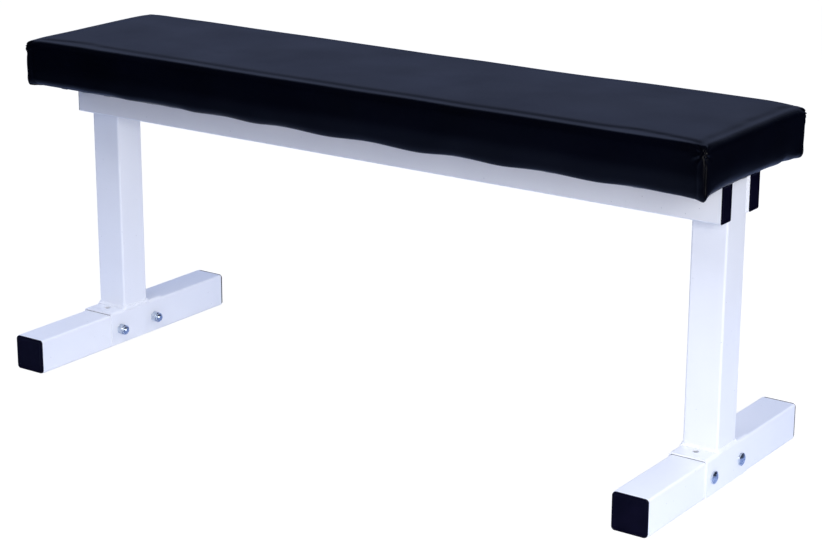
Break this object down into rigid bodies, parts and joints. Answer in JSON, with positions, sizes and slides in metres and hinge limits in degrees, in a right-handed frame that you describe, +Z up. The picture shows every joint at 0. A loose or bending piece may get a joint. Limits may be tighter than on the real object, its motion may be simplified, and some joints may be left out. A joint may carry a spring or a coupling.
{
  "type": "flat weight bench",
  "caption": "Flat exercise bench: black vinyl pad on two white rails, square uprights on bent saddles, and bolt-on square-tube feet with end plugs.",
  "frame": {"origin": "on the floor, under the middle of the bench", "axes": "+X along the bench towards the right end, +Y across it towards the rear rail, +Z up"},
  "size_m": [1.1176, 0.4124, 0.4825],
  "materials": {
    "powder_coat": "gloss white powder coat",
    "black_vinyl": "satin black vinyl upholstery",
    "foam": "open-cell foam, hidden",
    "plywood": "bare plywood",
    "black_plastic": "moulded black plastic",
    "zinc": "bright zinc plating",
    "nylon": "natural nylon",
    "staple_steel": "galvanised wire"
  },
  "bodies": {
    "root": {"cover_staples": "staple_steel", "foot_bolts": "zinc", "foot_lock_nuts": "zinc", "front_rail": "powder_coat", "front_rail_left_plug": "black_plastic", "front_rail_right_plug": "black_plastic", "left_base_weld": "powder_coat", "left_foot": "powder_coat", "left_foot_front_plug": "black_plastic", "left_foot_rear_plug": "black_plastic", "left_rail_welds": "powder_coat", "left_saddle": "powder_coat", "left_upright": "powder_coat", "lock_nut_inserts": "nylon", "pad_board": "plywood", "pad_bolt_washers": "zinc", "pad_bolts": "zinc", "pad_cover": "black_vinyl", "pad_foam": "foam", "pad_tee_nuts": "zinc", "rear_rail": "powder_coat", "rear_rail_left_plug": "black_plastic", "rear_rail_right_plug": "black_plastic", "right_base_weld": "powder_coat", "right_foot": "powder_coat", "right_foot_front_plug": "black_plastic", "right_foot_rear_plug": "black_plastic", "right_rail_welds": "powder_coat", "right_saddle": "powder_coat", "right_upright": "powder_coat"}
  },
  "joints": []
}
